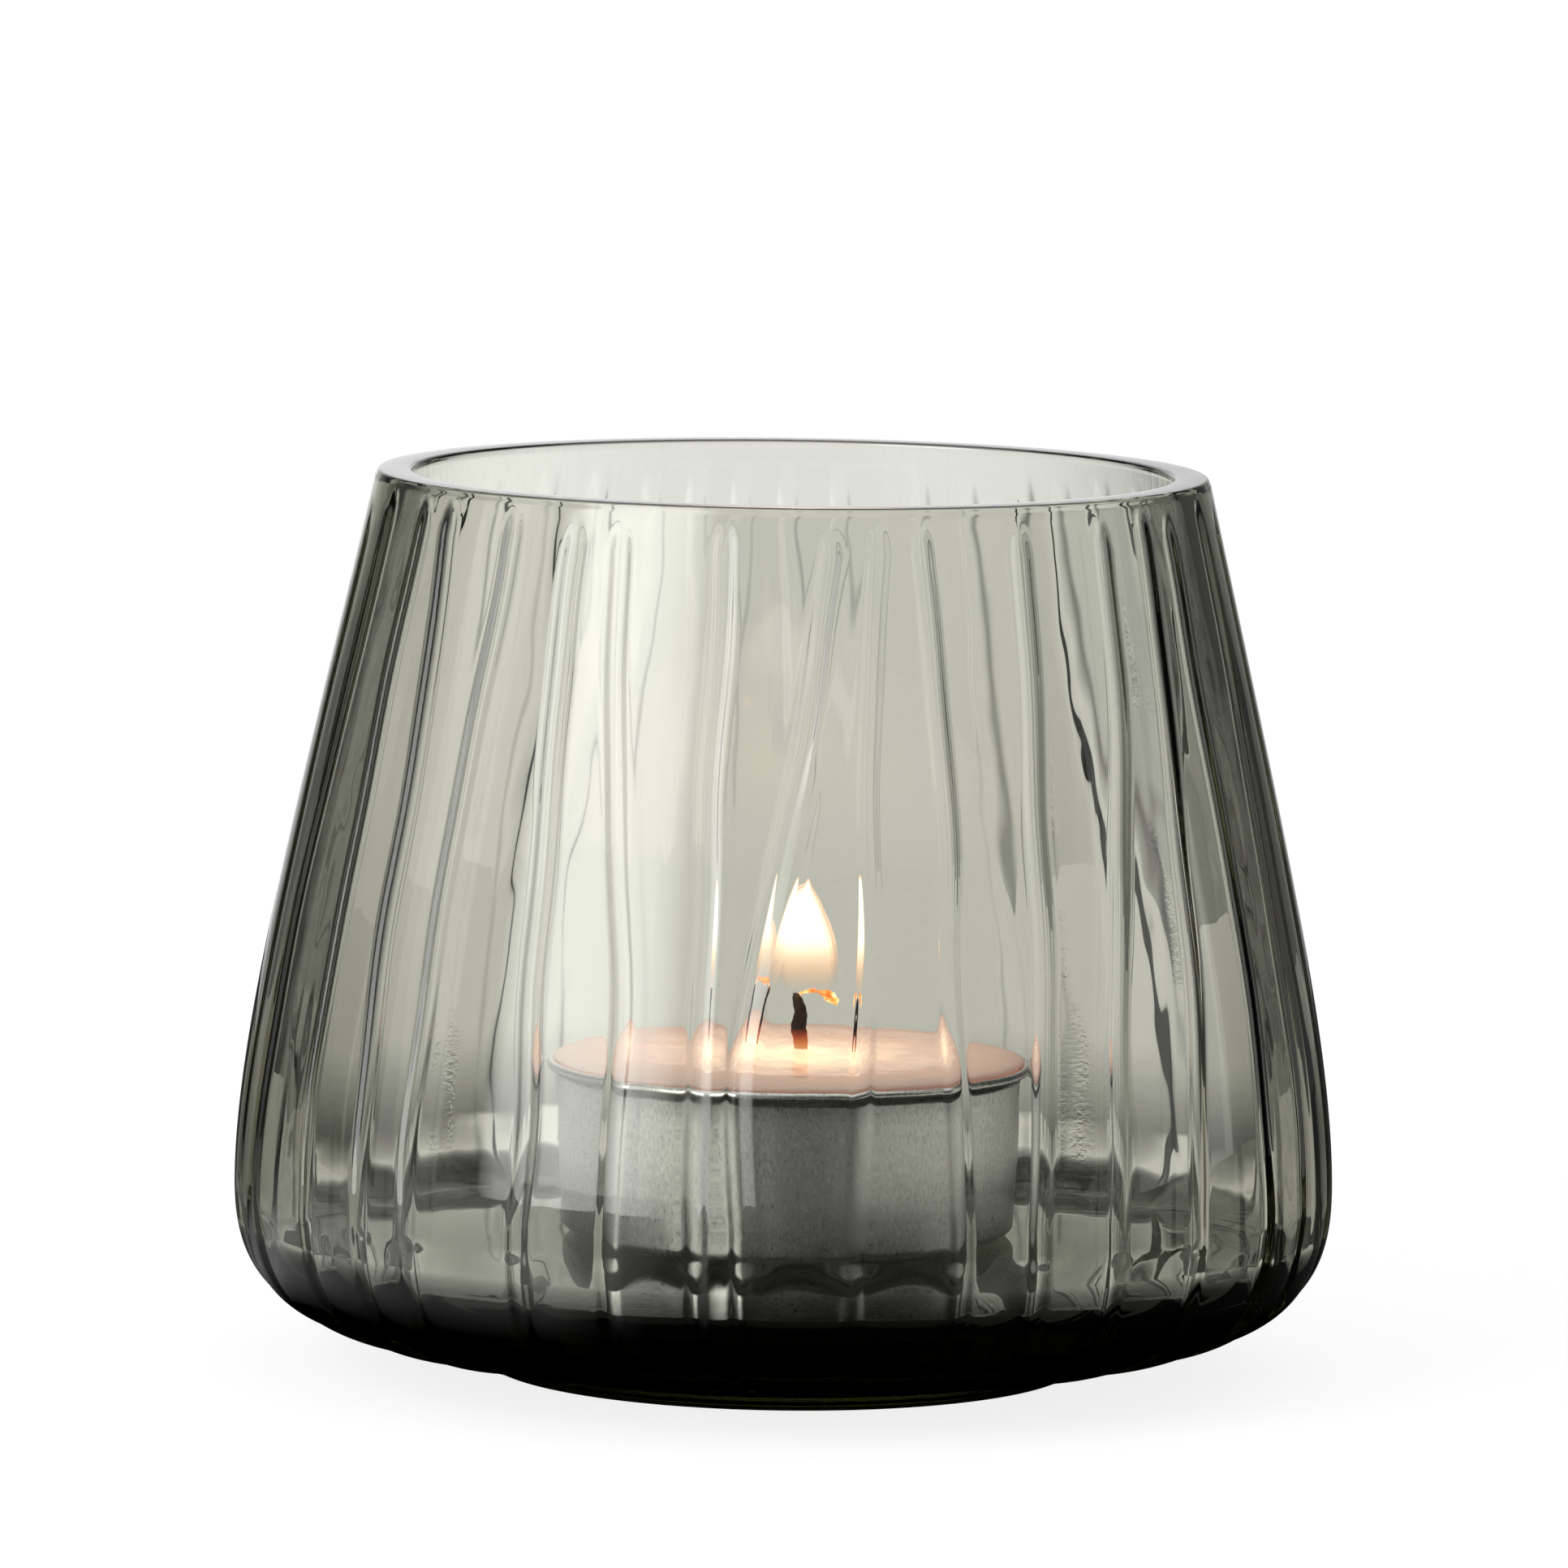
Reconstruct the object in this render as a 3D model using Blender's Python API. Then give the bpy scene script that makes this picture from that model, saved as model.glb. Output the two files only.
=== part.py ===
"""A grooved smoked-glass tealight holder with its tealight. Metres, +Z up.

The holder stands on z = 0 with its axis on Z, and its front faces -Y. Each piece is one object:
the glass, the tealight's metal cup, its wax, its wick and the small metal tab that holds the wick.
"""

import math
import random

import bmesh
import bpy

GAP = 0.0003  # clearance between pieces that touch

# Glass holder
GLASS_HEIGHT = 0.0738
RIM_RADIUS = 0.03405
BELLY_RADIUS = 0.0452
BELLY_HEIGHT = 0.0150
FOOT_RADIUS = 0.0246
FOOT_HEIGHT = 0.0019
FOOT_EDGE = 0.0005
RIM_WALL = 0.0029
RIM_EDGE = 0.00025
BELLY_WALL = 0.0034
GLASS_FLOOR = 0.0107
FLOOR_FILLET = 0.0030
FLOOR_FLAT_RADIUS = 0.0205  # the middle of the floor, where the tealight stands
FLOOR_FALL = 0.0012  # from there out to the fillet

# Grooves pressed into the outside of the glass, with rounded panels between them
GROOVE_DEPTH = 0.00045
SHOULDER_GROOVE_DEPTH = 0.00080
GROOVE_START = 0.0018  # below the rim
GROOVE_RAMP = 0.0014
PANEL_STEPS = (0.0, 0.25, 0.75)  # where each panel has its vertices, from one groove to the next
PANEL_HEIGHTS = (-1.0, 0.0, 0.0)  # in groove depths

# Directions of the grooves in degrees, from the front (-Y) towards +X. They are uneven, as in
# hand-made glass. In front, each groove has a direction at each of these heights.
GROOVE_HEIGHTS = (0.0700, 0.0525, 0.0350, 0.0175)
FRONT_GROOVES = (
    (-69.0, -70.3, -71.0, -71.5),
    (-58.6, -58.7, -58.7, -58.5),
    (-52.0, -50.0, -49.5, -48.8),
    (-40.0, -40.9, -41.8, -41.4),
    (-29.3, -29.2, -27.9, -27.9),
    (-23.2, -20.4, -17.9, -17.8),
    (-8.9, -8.9, -9.1, -8.4),
    (5.2, 1.1, -2.8, -3.3),
    (11.2, 9.4, 8.5, 7.2),
    (17.3, 18.1, 18.0, 18.2),
    (31.2, 30.2, 28.5, 27.2),
    (45.5, 42.6, 38.5, 36.0),
    (53.9, 52.0, 49.6, 47.7),
    (60.2, 60.3, 60.2, 60.0),
    (72.5, 70.8, 69.5, 69.0),
)
BACK_GROOVES = (128.5, 137.5, 144.5, 154.0, 161.5, 173.0, 180.5, 187.0, 193.5, 200.5, 208.5, 217.5, 228.5)
SIDE_GROOVES = 5  # on each side, between the front and the back
LEAN = 1.5  # largest random lean of the other grooves, in degrees

# Tealight cup, of thin aluminium
CUP_RADIUS = 0.0190
CUP_BASE_RADIUS = 0.0186
CUP_HEIGHT = 0.0140
CUP_WALL = 0.0003
CUP_CORNER = 0.0008
LIP_RADIUS = 0.0196
LIP_HEIGHT = 0.0009
BASE_RECESS_RADIUS = 0.0150
BASE_RECESS = 0.0004
TEALIGHT_X = 0.0003
CUP_Z = GLASS_FLOOR + GAP

# Wax, wick and the tab that holds the wick; the wick stands a little behind the cup's centre
WAX_RISE = 0.0006  # the wax's flat top above the lip
WAX_TOP_RADIUS = 0.0163
WAX_EDGE = 0.0009  # where the bevelled edge meets the cup, below the lip
WICK_X = TEALIGHT_X + 0.0010
WICK_Y = 0.0020
WICK_RADIUS = 0.0006
WICK_TOP = 0.0044  # above the wax
WICK_BEND = 0.0003
TAB_RADIUS = 0.0060
TAB_THICKNESS = 0.0004
NECK_RADIUS = 0.0012
NECK_HEIGHT = 0.0030

CUP_FLOOR = CUP_Z + BASE_RECESS + CUP_WALL
WAX_TOP = CUP_Z + CUP_HEIGHT + WAX_RISE
TAB_Z = CUP_FLOOR + GAP
ROUND_SEGMENTS = 64
SMALL_SEGMENTS = 20


def bezier(start, start_handle, end_handle, end, step):
    """The point at step (0 to 1) of a cubic curve through (radius, height) points."""
    rest = 1 - step
    weights = (rest**3, 3 * rest * rest * step, 3 * rest * step * step, step**3)
    points = (start, start_handle, end_handle, end)
    return tuple(sum(w * p[axis] for w, p in zip(weights, points)) for axis in (0, 1))


def shoulder(step):
    """The outside of the glass from the foot (0) out and up to the belly (1)."""
    return bezier(
        (FOOT_RADIUS, FOOT_HEIGHT),
        (0.0402, 0.0023),
        (BELLY_RADIUS, 0.0062),
        (BELLY_RADIUS, BELLY_HEIGHT),
        step,
    )


def wall(step):
    """The outside of the glass from the belly (0) up to the rim (1)."""
    return bezier(
        (BELLY_RADIUS, BELLY_HEIGHT),
        (BELLY_RADIUS, 0.0270),
        (0.0405, 0.0458),
        (RIM_RADIUS, GLASS_HEIGHT),
        step,
    )


def outward(curve, step):
    """The outline's outward direction at a step, in (radius, height)."""
    before, after = curve(max(step - 0.01, 0)), curve(min(step + 0.01, 1))
    radial, rise = after[0] - before[0], after[1] - before[1]
    length = math.hypot(radial, rise)
    return rise / length, -radial / length


def groove_lines():
    """Each groove's directions at the groove heights, in degrees, in order round the glass."""
    rng = random.Random(7)
    right, left = FRONT_GROOVES[-1][0], FRONT_GROOVES[0][0] + 360
    others = []
    for start, end in ((right, BACK_GROOVES[0]), (BACK_GROOVES[-1], left)):
        gap = (end - start) / (SIDE_GROOVES + 1)
        others.append([start + gap * (count + 1) for count in range(SIDE_GROOVES)])
    lines = list(FRONT_GROOVES)
    for angle in others[0] + list(BACK_GROOVES) + others[1]:
        lean = rng.uniform(-LEAN, LEAN)
        lines.append(tuple(angle + lean * count / 3 for count in range(4)))
    return lines


def groove_angle(line, height):
    """A groove's direction at a height, on the cubic through its four directions."""
    height = min(max(height, GROOVE_HEIGHTS[3]), GROOVE_HEIGHTS[0])
    angle = 0.0
    for index, own in enumerate(GROOVE_HEIGHTS):
        weight = line[index]
        for other in GROOVE_HEIGHTS:
            if other != own:
                weight *= (height - other) / (own - other)
        angle += weight
    return angle


def groove_depth(height):
    """How deep the grooves are at a height: none at the rim, deepest under the shoulder."""
    below_rim = GLASS_HEIGHT - GROOVE_START - height
    start = min(max(below_rim / GROOVE_RAMP, 0), 1)
    lower = min(max((BELLY_HEIGHT - height) / (BELLY_HEIGHT - FOOT_HEIGHT), 0), 1)
    return start * GROOVE_DEPTH + math.sin(math.pi * lower**0.8) * (SHOULDER_GROOVE_DEPTH - GROOVE_DEPTH)


def directions(height, lines):
    """The angle and panel height of each vertex round the glass at a height."""
    angles = [groove_angle(line, height) for line in lines]
    for index, angle in enumerate(angles):
        after = angles[index + 1] if index + 1 < len(angles) else angles[0] + 360
        for step, panel in zip(PANEL_STEPS, PANEL_HEIGHTS):
            yield math.radians(angle + (after - angle) * step), panel


def glass_ring(point, normal, depth, lines):
    ring = []
    for angle, panel in directions(point[1], lines):
        radius = point[0] + normal[0] * panel * depth
        height = point[1] + normal[1] * panel * depth
        ring.append((radius * math.sin(angle), -radius * math.cos(angle), height))
    return ring


def inner_radius(height):
    """The radius of the smooth inside wall at a height."""
    low, high = 0.0, 1.0
    for _ in range(40):
        middle = (low + high) / 2
        low, high = (middle, high) if wall(middle)[1] < height else (low, middle)
    share = (height - BELLY_HEIGHT) / (GLASS_HEIGHT - BELLY_HEIGHT)
    return wall(low)[0] - BELLY_WALL - (RIM_WALL - BELLY_WALL) * share


def glass_rings():
    lines = groove_lines()
    flat = (1.0, 0.0)
    rings = [
        glass_ring((FOOT_RADIUS - FOOT_EDGE, 0), flat, 0, lines),
        glass_ring((FOOT_RADIUS, FOOT_EDGE), flat, 0, lines),
    ]
    for step in (0, 0.12, 0.3, 0.5, 0.68, 0.85):
        point = shoulder(step)
        rings.append(glass_ring(point, outward(shoulder, step), groove_depth(point[1]), lines))
    for step in (0, 0.22, 0.42, 0.6, 0.76, 0.88, 0.93, 0.965):
        point = wall(step)
        rings.append(glass_ring(point, outward(wall, step), groove_depth(point[1]), lines))
    rim_inside = inner_radius(GLASS_HEIGHT)
    top = [
        (RIM_RADIUS, GLASS_HEIGHT - RIM_EDGE),
        (RIM_RADIUS - RIM_EDGE, GLASS_HEIGHT),
        (rim_inside + RIM_EDGE, GLASS_HEIGHT),
        (rim_inside, GLASS_HEIGHT - RIM_EDGE),
    ]
    fillet_top = GLASS_FLOOR - FLOOR_FALL + FLOOR_FILLET
    for share in (0.75, 0.5, 0.25, 0.1, 0):
        height = fillet_top + (GLASS_HEIGHT - fillet_top) * share
        top.append((inner_radius(height), height))
    for turn in (30, 60, 90):
        angle = math.radians(turn)
        radius = inner_radius(fillet_top) - FLOOR_FILLET * (1 - math.cos(angle))
        top.append((radius, fillet_top - FLOOR_FILLET * math.sin(angle)))
    top.append((FLOOR_FLAT_RADIUS, GLASS_FLOOR))
    return rings + [glass_ring(point, flat, 0, lines) for point in top]


def round_ring(radius, height, centre=(TEALIGHT_X, 0), segments=ROUND_SEGMENTS):
    turns = [2 * math.pi * count / segments for count in range(segments)]
    return [(centre[0] + radius * math.cos(t), centre[1] + radius * math.sin(t), height) for t in turns]


def material(name, colour, roughness, metallic=0.0, transmission=0.0):
    made = bpy.data.materials.new(name)
    made.use_nodes = True
    surface = made.node_tree.nodes["Principled BSDF"]
    surface.inputs["Base Color"].default_value = (*colour, 1)
    surface.inputs["Roughness"].default_value = roughness
    surface.inputs["Metallic"].default_value = metallic
    surface.inputs["Transmission Weight"].default_value = transmission
    made.diffuse_color = (*colour, 1)
    return made


def skin(name, rings, surface, origin=(0, 0, 0), looped=False):
    """A closed object through rings of points: its ends are capped, or joined when it is looped."""
    mesh = bmesh.new()
    places = [[tuple(p - o for p, o in zip(point, origin)) for point in ring] for ring in rings]
    loops = [[mesh.verts.new(point) for point in ring] for ring in places]
    pairs = list(zip(loops, loops[1:]))
    if looped:
        pairs.append((loops[-1], loops[0]))
    else:
        mesh.faces.new(reversed(loops[0]))
        mesh.faces.new(loops[-1])
    for lower, upper in pairs:
        for index in range(len(lower)):
            after = (index + 1) % len(lower)
            mesh.faces.new((lower[index], lower[after], upper[after], upper[index]))
    bmesh.ops.recalc_face_normals(mesh, faces=mesh.faces)
    data = bpy.data.meshes.new(name)
    mesh.to_mesh(data)
    mesh.free()
    data.materials.append(surface)
    data.shade_smooth()
    data.set_sharp_from_angle(angle=math.radians(40))
    made = bpy.data.objects.new(name, data)
    made.location = origin
    bpy.context.collection.objects.link(made)
    return made


def make_glass():
    smoke = material("smoked_glass", (0.33, 0.34, 0.31), 0.03, transmission=1.0)
    return skin("glass_holder", glass_rings(), smoke)


def make_cup():
    """A drawn cup: a recessed base, a straight wall and a rolled lip round its mouth."""
    lip_z = CUP_Z + CUP_HEIGHT
    inside = CUP_RADIUS - CUP_WALL
    outline = (
        (BASE_RECESS_RADIUS - BASE_RECESS, CUP_Z + BASE_RECESS),
        (BASE_RECESS_RADIUS, CUP_Z),
        (CUP_BASE_RADIUS - CUP_CORNER, CUP_Z),
        (CUP_BASE_RADIUS - 0.3 * CUP_CORNER, CUP_Z + 0.3 * CUP_CORNER),
        (CUP_BASE_RADIUS, CUP_Z + CUP_CORNER),
        (CUP_RADIUS, lip_z - LIP_HEIGHT),
        (LIP_RADIUS, lip_z - 0.75 * LIP_HEIGHT),
        (LIP_RADIUS, lip_z - 0.25 * LIP_HEIGHT),
        (CUP_RADIUS, lip_z),
        (inside, lip_z - 0.25 * LIP_HEIGHT),
        (inside, lip_z - LIP_HEIGHT),
        (CUP_BASE_RADIUS - CUP_WALL, CUP_Z + CUP_CORNER),
        (CUP_BASE_RADIUS - CUP_CORNER, CUP_Z + CUP_WALL),
        (BASE_RECESS_RADIUS + CUP_WALL, CUP_Z + CUP_WALL),
        (BASE_RECESS_RADIUS + CUP_WALL - BASE_RECESS, CUP_FLOOR),
    )
    aluminium = material("aluminium", (0.72, 0.72, 0.73), 0.28, metallic=1.0)
    rings = [round_ring(radius, height) for radius, height in outline]
    return skin("tealight_cup", rings, aluminium, origin=(TEALIGHT_X, 0, CUP_Z))


def make_wax():
    """The wax fills the cup and stands a little above it. The wick and its tab have room in it."""
    wick = (WICK_X, WICK_Y)
    side = CUP_BASE_RADIUS - CUP_WALL - GAP
    bore = NECK_RADIUS + GAP
    tab_roof = TAB_Z + TAB_THICKNESS + GAP
    bottom = TAB_Z
    rings = [
        round_ring(side - CUP_CORNER, bottom),
        round_ring(side, bottom + CUP_CORNER),
        round_ring(side, CUP_Z + CUP_HEIGHT - WAX_EDGE),
        round_ring((side + WAX_TOP_RADIUS) / 2, WAX_TOP - 0.25 * (WAX_RISE + WAX_EDGE)),
        round_ring(WAX_TOP_RADIUS, WAX_TOP),
        round_ring(bore, WAX_TOP, wick),
        round_ring(bore, tab_roof, wick),
        round_ring(TAB_RADIUS + GAP, tab_roof, wick),
        round_ring(TAB_RADIUS + GAP, bottom, wick),
    ]
    paraffin = material("paraffin_wax", (0.93, 0.86, 0.78), 0.35)
    return skin("wax", rings, paraffin, origin=(TEALIGHT_X, 0, CUP_FLOOR), looped=True)


def make_tab():
    """The wick's tab: a thin disc with a short neck."""
    bore = WICK_RADIUS + GAP
    outline = (
        (bore, TAB_Z),
        (TAB_RADIUS, TAB_Z),
        (TAB_RADIUS, TAB_Z + TAB_THICKNESS),
        (NECK_RADIUS, TAB_Z + TAB_THICKNESS),
        (NECK_RADIUS, TAB_Z + NECK_HEIGHT),
        (bore, TAB_Z + NECK_HEIGHT),
    )
    tinplate = material("tinplate", (0.55, 0.55, 0.56), 0.35, metallic=1.0)
    place = (WICK_X, WICK_Y)
    rings = [round_ring(radius, height, place, SMALL_SEGMENTS) for radius, height in outline]
    return skin("wick_tab", rings, tinplate, origin=(*place, TAB_Z), looped=True)


def make_wick():
    """The wick stands straight in the wax, and its burnt end curls a little."""
    rings = []
    top = WAX_TOP + WICK_TOP
    for share in (0.0, 0.25, 0.5, 0.75, 1.0):
        shift = WICK_BEND * share**2
        height = WAX_TOP + WICK_TOP * share
        rings.append(round_ring(WICK_RADIUS, height, (WICK_X + shift, WICK_Y), SMALL_SEGMENTS // 2))
    rings.insert(0, round_ring(WICK_RADIUS, TAB_Z, (WICK_X, WICK_Y), SMALL_SEGMENTS // 2))
    end = round_ring(WICK_RADIUS * 0.6, top + 0.0002, (WICK_X + WICK_BEND, WICK_Y), SMALL_SEGMENTS // 2)
    charred = material("charred_cotton", (0.03, 0.025, 0.02), 0.9)
    return skin("wick", rings + [end], charred, origin=(WICK_X, WICK_Y, TAB_Z))


def main():
    for old in list(bpy.data.objects):
        bpy.data.objects.remove(old, do_unlink=True)
    glass = make_glass()
    cup = make_cup()
    wax = make_wax()
    for piece in (make_tab(), make_wick()):
        attach(piece, wax)
    attach(wax, cup)
    attach(cup, glass)


def attach(piece, holder):
    """Parents a piece to its holder and leaves it where it is."""
    bpy.context.view_layer.update()
    piece.parent = holder
    piece.matrix_parent_inverse = holder.matrix_world.inverted()


main()
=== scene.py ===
"""The looks of the grooved smoked-glass tealight holder, its tealight and the flame.

Metres, +Z up, and the front faces -Y.
"""

import math
import random

import bpy
import numpy as np
from mathutils import Matrix, Vector, noise

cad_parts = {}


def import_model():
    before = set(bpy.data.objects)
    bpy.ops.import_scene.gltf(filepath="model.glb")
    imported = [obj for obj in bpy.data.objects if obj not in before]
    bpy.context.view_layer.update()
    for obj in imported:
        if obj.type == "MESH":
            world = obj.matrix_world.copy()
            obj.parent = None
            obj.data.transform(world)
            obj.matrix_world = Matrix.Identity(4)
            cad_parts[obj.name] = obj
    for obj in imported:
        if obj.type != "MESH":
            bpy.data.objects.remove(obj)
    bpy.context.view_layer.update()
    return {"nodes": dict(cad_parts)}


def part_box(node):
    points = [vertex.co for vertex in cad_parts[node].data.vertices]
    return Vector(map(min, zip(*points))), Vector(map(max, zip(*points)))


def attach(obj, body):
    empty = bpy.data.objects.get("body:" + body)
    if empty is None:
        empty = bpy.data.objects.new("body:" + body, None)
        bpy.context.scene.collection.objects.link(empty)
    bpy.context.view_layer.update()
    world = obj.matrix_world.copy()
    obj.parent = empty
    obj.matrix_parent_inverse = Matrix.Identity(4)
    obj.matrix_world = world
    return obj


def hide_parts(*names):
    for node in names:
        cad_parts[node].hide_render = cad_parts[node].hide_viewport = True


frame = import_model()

CUP_LOW, CUP_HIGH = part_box("tealight_cup")
WAX_LOW, WAX_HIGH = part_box("wax")
WICK_LOW, WICK_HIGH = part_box("wick")
CUP_CENTRE = ((CUP_LOW.x + CUP_HIGH.x) / 2, (CUP_LOW.y + CUP_HIGH.y) / 2)
WICK_ASIDE = 0.0010  # the wick stands this far right of the cup's middle
WICK_CENTRE = (CUP_CENTRE[0] + WICK_ASIDE, (WICK_LOW.y + WICK_HIGH.y) / 2)

# Glass outline, as in the CAD
GLASS_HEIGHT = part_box("glass_holder")[1].z
BELLY_RADIUS = 0.0452
BELLY_HEIGHT = 0.0150
RIM_RADIUS = 0.03405
FOOT_RADIUS = 0.0246
FOOT_HEIGHT = 0.0019
FOOT_EDGE = 0.0006
RIM_WALL = 0.0029
RIM_EDGE = 0.00035
BELLY_WALL = 0.0034
GLASS_FLOOR = 0.0107
FLOOR_FILLET = 0.0030
FLOOR_FLAT_RADIUS = 0.0205
FLOOR_FALL = 0.0012
# Curves of the outline: start, two handles and end, as (radius, height)
SHOULDER = (
    (FOOT_RADIUS, FOOT_HEIGHT),
    (0.0402, 0.0023),
    (BELLY_RADIUS, 0.0062),
    (BELLY_RADIUS, BELLY_HEIGHT),
)
WALL = (
    (BELLY_RADIUS, BELLY_HEIGHT),
    (BELLY_RADIUS, 0.0270),
    (0.0405, 0.0458),
    (RIM_RADIUS, GLASS_HEIGHT),
)
CURVE_STEP = 0.01  # to each side, for the outward direction
BISECTIONS = 40

# A slow, hand-made unevenness of the glass's surfaces: noise scales across and up, and heights
SLOW_WAVES = (55, 30)
SLOW_HEIGHT = 0.000025
FINE_WAVES = (160, 70)
FINE_HEIGHT = 0.000005
INSIDE_SEED = 9.0

# Cup: a drawn sheet with a rolled bead and slight dents
CUP_BEAD = 0.00038
CUP_SEGMENTS = 192
DENT_DEPTH = 0.00006
DENTS_ROUND = 2.2
DENTS_UP = 150
DENTED_RADIUS = 0.016  # and beyond

# Wax: its side, and a shallow pool that climbs up the wick
WAX_SEGMENTS = 160
WAX_FOOT = ((0.0100, 0.0), (0.0170, 0.0), (0.0176, 0.0002), (0.0178, 0.0010))  # (radius, height)
WAX_SHOULDER = (  # (radius, height above the cup's mouth)
    (0.0183, -0.0016), (0.0185, -0.0009), (0.0187, -0.0004), (0.0188, -0.00006),
    (0.0190, 0.00008), (0.0191, 0.00018), (0.0189, 0.00032), (0.0185, 0.00042),
)
WAX_TOP_RADII = (
    0.0178, 0.0171, 0.0165, 0.0158, 0.0150, 0.0142, 0.0134, 0.0125, 0.0115, 0.0105, 0.0093,
    0.0080, 0.0066, 0.0052, 0.0038, 0.0028, 0.0020, 0.0015, 0.0011, 0.0008, 0.0006,
)
WAX_RINGS_EASE = 0.7  # how the top's rings go over from the cup's middle to the wick
WAX_BELOW_CAD = 0.00012
POOL_RADIUS = 0.0135
POOL_BANK = 0.0035
POOL_DEPTH = 0.00030
CLIMB_HEIGHT = 0.00045
CLIMB_START = 0.0007
CLIMB_WIDTH = 0.0006
WAX_UNEVEN = 0.00010
WAX_UNEVEN_SCALE = 330

# Wick: a braid that starts in the wax and bends a little to the left
WICK_RADIUS = 0.00046
WICK_IN_WAX = 0.0030
WICK_ROWS = 70
WICK_SEGMENTS = 36
BRAID_PITCH = 0.0022
STRANDS = 3
STRAND_DEPTH = 0.13
FIBRES = 7
FIBRE_DEPTH = 0.05
FIBRE_TWIST = 2.1
WICK_SWELL = (0.18, 5.0)  # share of the radius, and turns in radians over the wick
WICK_TIP_START = 0.97
WICK_TIP_SHARE = 0.7
WICK_BEND = 0.00045
WICK_SWAY = (0.00012, 6.0)

# The wick's glowing end, from the wick's top: (right, up), and (share of its length, radius)
EMBER_PATH = (
    (-0.0004, -0.0003), (0.0001, 0.0001), (0.0008, 0.0003), (0.0013, 0.0002),
    (0.0018, 0.0), (0.0022, -0.0004), (0.0024, -0.0009),
)
EMBER_RADII = (
    (0.0, 0.00016), (0.15, 0.00008), (0.28, 0.00016), (0.36, 0.00020), (0.46, 0.00009),
    (0.60, 0.00030), (0.76, 0.00042), (0.90, 0.00032), (1.0, 0.00006),
)
EMBER_ROWS = 44
EMBER_SEGMENTS = 20
EMBER_LUMPS = 14
EMBER_LUMP_HEIGHT = 0.5

# Flame: (share of its height, radius), and its shells as (size, opacity, warmth of colour)
FLAME_BELOW_WICK_TOP = 0.0003
FLAME_HEIGHT = 0.0098
FLAME_WIDTHS = (
    (0.0, 0.0014), (0.08, 0.0020), (0.2, 0.00225), (0.35, 0.0023), (0.5, 0.00215),
    (0.65, 0.00182), (0.8, 0.00132), (0.9, 0.00088), (0.97, 0.00048), (1.0, 0.00016),
)
FLAME_SHELLS = ((1.08, 0.25, 0.62), (0.95, 0.50, 0.86), (0.84, 1.0, 1.0))
FLAME_ROWS = 48
FLAME_SEGMENTS = 40
FLAME_ASIDE = 0.0002
FLAME_LEAN = 0.0003
FLAME_CURVE = 1.5
SHELL_GROWTH = 0.2
SHELL_RISE = 0.04
FLAME_BRIGHTNESS = 2.4
FLAME_COLOURS = (
    (0.0, (0.42, 0.27, 0.18)),
    (0.18, (0.45, 0.35, 0.26)),
    (0.30, (0.54, 0.45, 0.36)),
    (0.38, (0.70, 0.60, 0.48)),
    (0.50, (1.0, 0.95, 0.85)),
    (0.65, (1.0, 0.97, 0.90)),
)
FLAME_OPACITY = ((0.0, 0.0), (0.10, 0.05), (0.21, 0.35), (0.31, 0.85), (0.40, 1.0))
LAMP_POWER = 0.004
LAMP_COLOUR = (1.0, 0.62, 0.34)
LAMP_RADIUS = 0.0015
LAMP_RISE = 0.35  # of the flame's height

# Grooves: shallow channels with rounded ends, between gently rounded panels
GROOVE_DEPTH = 0.00018
GROOVE_HALF_WIDTH = 0.00080
SIDE_STEEPNESS = 4.0
TIP_SLOPE = 0.45  # of a groove's end, against its sides
STRONG_GROOVES = (  # which of the front grooves, and how deep
    (0, 1.8), (1, 1.8), (2, 1.5), (6, 0.8), (7, 1.2), (8, 0.6), (12, 1.5), (13, 1.8), (14, 1.8),
)
FLANKED_GROOVE = 7  # the one in front of the flame: a flat bevel at its right shows the flame again
FLANK_START = 0.0002
FLANK_END = 0.0017
RIDGE_END = 0.0026
RIDGE = 0.32  # of the groove's depth
FLANK_BOTTOM = 0.010
FLANK_TOP = 0.056
FLANK_FADE = 0.006
STRENGTH_RANGE = (0.75, 1.15)  # of the other grooves
BACK_STRENGTH = 1.25
SOFT_START = 0.004  # over which the grooves at the back and sides deepen
PANEL_BULGE = 0.00006
PANEL_FLATNESS = 0.8
BULGE_BELOW_RIM = 0.003
BULGE_FADE = 0.010
SHOULDER_BULGE = 0.00032
SHOULDER_SKEW = 0.7
SHOULDER_STOP = 0.86
GROOVE_START = 0.0018
GROOVE_START_SPREAD = 0.0005
GROOVE_HEIGHTS = (0.0700, 0.0525, 0.0350, 0.0175)
FRONT_GROOVES = (  # each groove's directions at those heights, in degrees from the front to +X
    (-69.0, -70.3, -71.0, -71.5),
    (-58.6, -58.7, -58.7, -58.5),
    (-52.0, -50.0, -49.5, -48.8),
    (-40.0, -40.9, -41.8, -41.4),
    (-29.3, -29.2, -27.9, -27.9),
    (-23.2, -20.4, -17.9, -17.8),
    (-8.9, -8.9, -9.1, -8.4),
    (5.2, 0.5, -4.0, -4.4),
    (11.2, 9.4, 8.5, 7.2),
    (17.3, 18.1, 18.0, 18.2),
    (31.2, 30.2, 28.5, 27.2),
    (45.5, 42.6, 38.5, 36.0),
    (53.9, 52.0, 49.6, 47.7),
    (60.2, 60.3, 60.2, 60.0),
    (72.5, 70.8, 69.5, 69.0),
)
BACK_GROOVES = (
    128.5, 137.5, 144.5, 154.0, 161.5, 173.0, 180.5, 187.0, 193.5, 200.5, 208.5, 217.5, 228.5,
)
SIDE_GROOVES = 5  # on each side
LEAN = 1.5  # degrees, at most
LEAN_SEED = 7
GROOVE_SEED = 11
WANDER = 0.25  # degrees
SLOW_WANDER = 2.3  # waves over the height
FAST_WANDER = 4.1
FAST_SHARE = 0.5
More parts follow.
